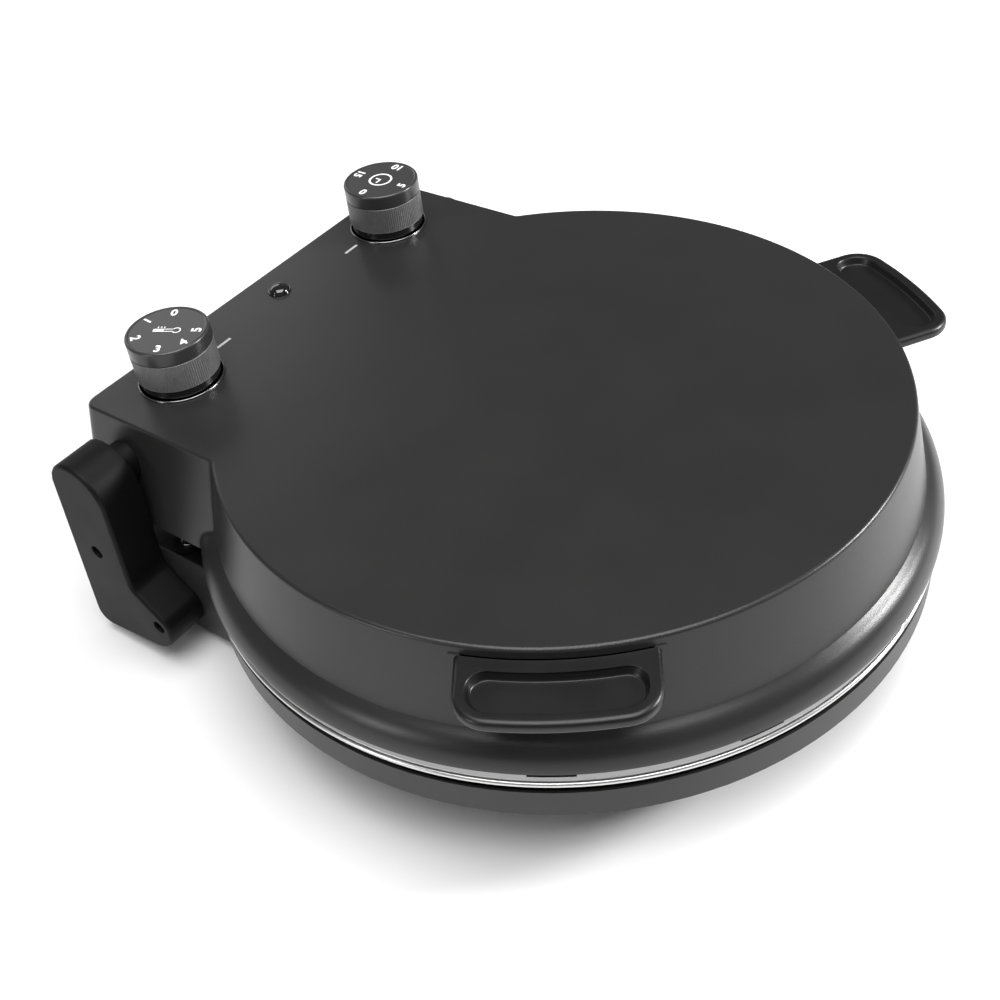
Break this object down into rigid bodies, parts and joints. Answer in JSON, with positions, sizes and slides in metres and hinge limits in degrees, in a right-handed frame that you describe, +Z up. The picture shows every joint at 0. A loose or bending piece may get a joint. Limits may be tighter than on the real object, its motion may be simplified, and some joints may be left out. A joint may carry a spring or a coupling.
{
  "type": "electric contact griddle",
  "caption": "Round clamshell contact griddle with a drafted steel lid, flush rear control box, knobs, tongue handles and covered side hinges.",
  "frame": {"origin": "middle of the overall footprint, on the surface that the feet stand on", "axes": "+Z up, +Y towards the hinge at the back, +X to the right when seen from the front; the object is symmetric about the YZ plane but for its two controls"},
  "size_m": [0.3328, 0.3534, 0.1459],
  "materials": {
    "coated_steel": "dark grey fine-grain powder coat, semi-gloss",
    "dark_plastic": "matte black moulded plastic",
    "handle_plastic": "dark satin phenolic plastic",
    "cooking_plate": "satin cast aluminium",
    "element_steel": "oxidised steel sheath",
    "zinc_steel": "zinc plated steel",
    "screw_steel": "bright plated steel",
    "bright_reflector": "aluminised sheet",
    "ceramic_wool": "white ceramic fibre board",
    "knob_grip": "ribbed black plastic",
    "knob_metal": "smooth dark metallic cap",
    "bezel_chrome": "polished chrome ring",
    "lens_dark": "glossy black lens",
    "lamp_glass": "neon lamp",
    "switch_body": "heat resistant moulding",
    "foot_rubber": "black rubber"
  },
  "bodies": {
    "root": {"base_shell": "coated_steel", "base_bottom_cover": "zinc_steel", "base_rear_panel": "dark_plastic", "rear_panel_screws": "screw_steel", "lower_plate": "cooking_plate", "lower_heating_element": "element_steel", "lower_heater_clips": "zinc_steel", "lower_plate_studs": "zinc_steel", "lower_plate_straps": "zinc_steel", "lower_reflector": "bright_reflector", "lower_insulation": "ceramic_wool", "lower_plate_nuts": "zinc_steel", "rubber_feet": "foot_rubber", "foot_screws": "screw_steel", "bottom_screws": "screw_steel", "left_hinge_cover": "dark_plastic", "right_hinge_cover": "dark_plastic", "left_hinge_arm": "zinc_steel", "right_hinge_arm": "zinc_steel", "hinge_pins": "screw_steel", "hinge_clips": "zinc_steel", "hinge_screws": "screw_steel", "cord_gland": "foot_rubber", "base_terminal_block": "switch_body"},
    "lid": {"lid_shell": "coated_steel", "lid_rear_cover": "dark_plastic", "lid_cover_posts": "zinc_steel", "lid_cover_screws": "screw_steel", "lid_terminal_block": "switch_body", "thermal_fuse": "switch_body", "upper_plate": "cooking_plate", "upper_heating_element": "element_steel", "upper_heater_clips": "zinc_steel", "upper_plate_studs": "zinc_steel", "upper_plate_straps": "zinc_steel", "upper_reflector": "bright_reflector", "upper_insulation": "ceramic_wool", "upper_plate_nuts": "zinc_steel", "left_handle": "handle_plastic", "right_handle": "handle_plastic", "left_handle_plate": "handle_plastic", "right_handle_plate": "handle_plastic", "handle_screws": "screw_steel", "indicator_lens": "lens_dark", "indicator_lamp": "lamp_glass", "thermostat_body": "switch_body", "thermostat_bezel": "bezel_chrome", "timer_body": "switch_body", "timer_bezel": "bezel_chrome", "left_hinge_boss": "handle_plastic", "right_hinge_boss": "handle_plastic", "left_hinge_plate": "zinc_steel", "right_hinge_plate": "zinc_steel"},
    "thermostat_dial": {"thermostat_knob": "knob_grip", "thermostat_knob_cap": "knob_metal", "thermostat_shaft": "screw_steel"},
    "timer_dial": {"timer_knob": "knob_grip", "timer_knob_cap": "knob_metal", "timer_shaft": "screw_steel"}
  },
  "joints": [
    {"name": "lid_hinge", "type": "hinge", "parent": "root", "child": "lid", "pos_m": [0, 0.1477, 0.099], "axis": [-1, 0, 0], "range_deg": [0, 100]},
    {"name": "thermostat_turn", "type": "hinge", "parent": "lid", "child": "thermostat_dial", "pos_m": [-0.0752, 0.1457, 0.12], "axis": [0, 0, 1], "range_deg": [-300, 0]},
    {"name": "timer_turn", "type": "hinge", "parent": "lid", "child": "timer_dial", "pos_m": [0.0752, 0.1457, 0.12], "axis": [0, 0, 1], "range_deg": [-270, 0]}
  ]
}
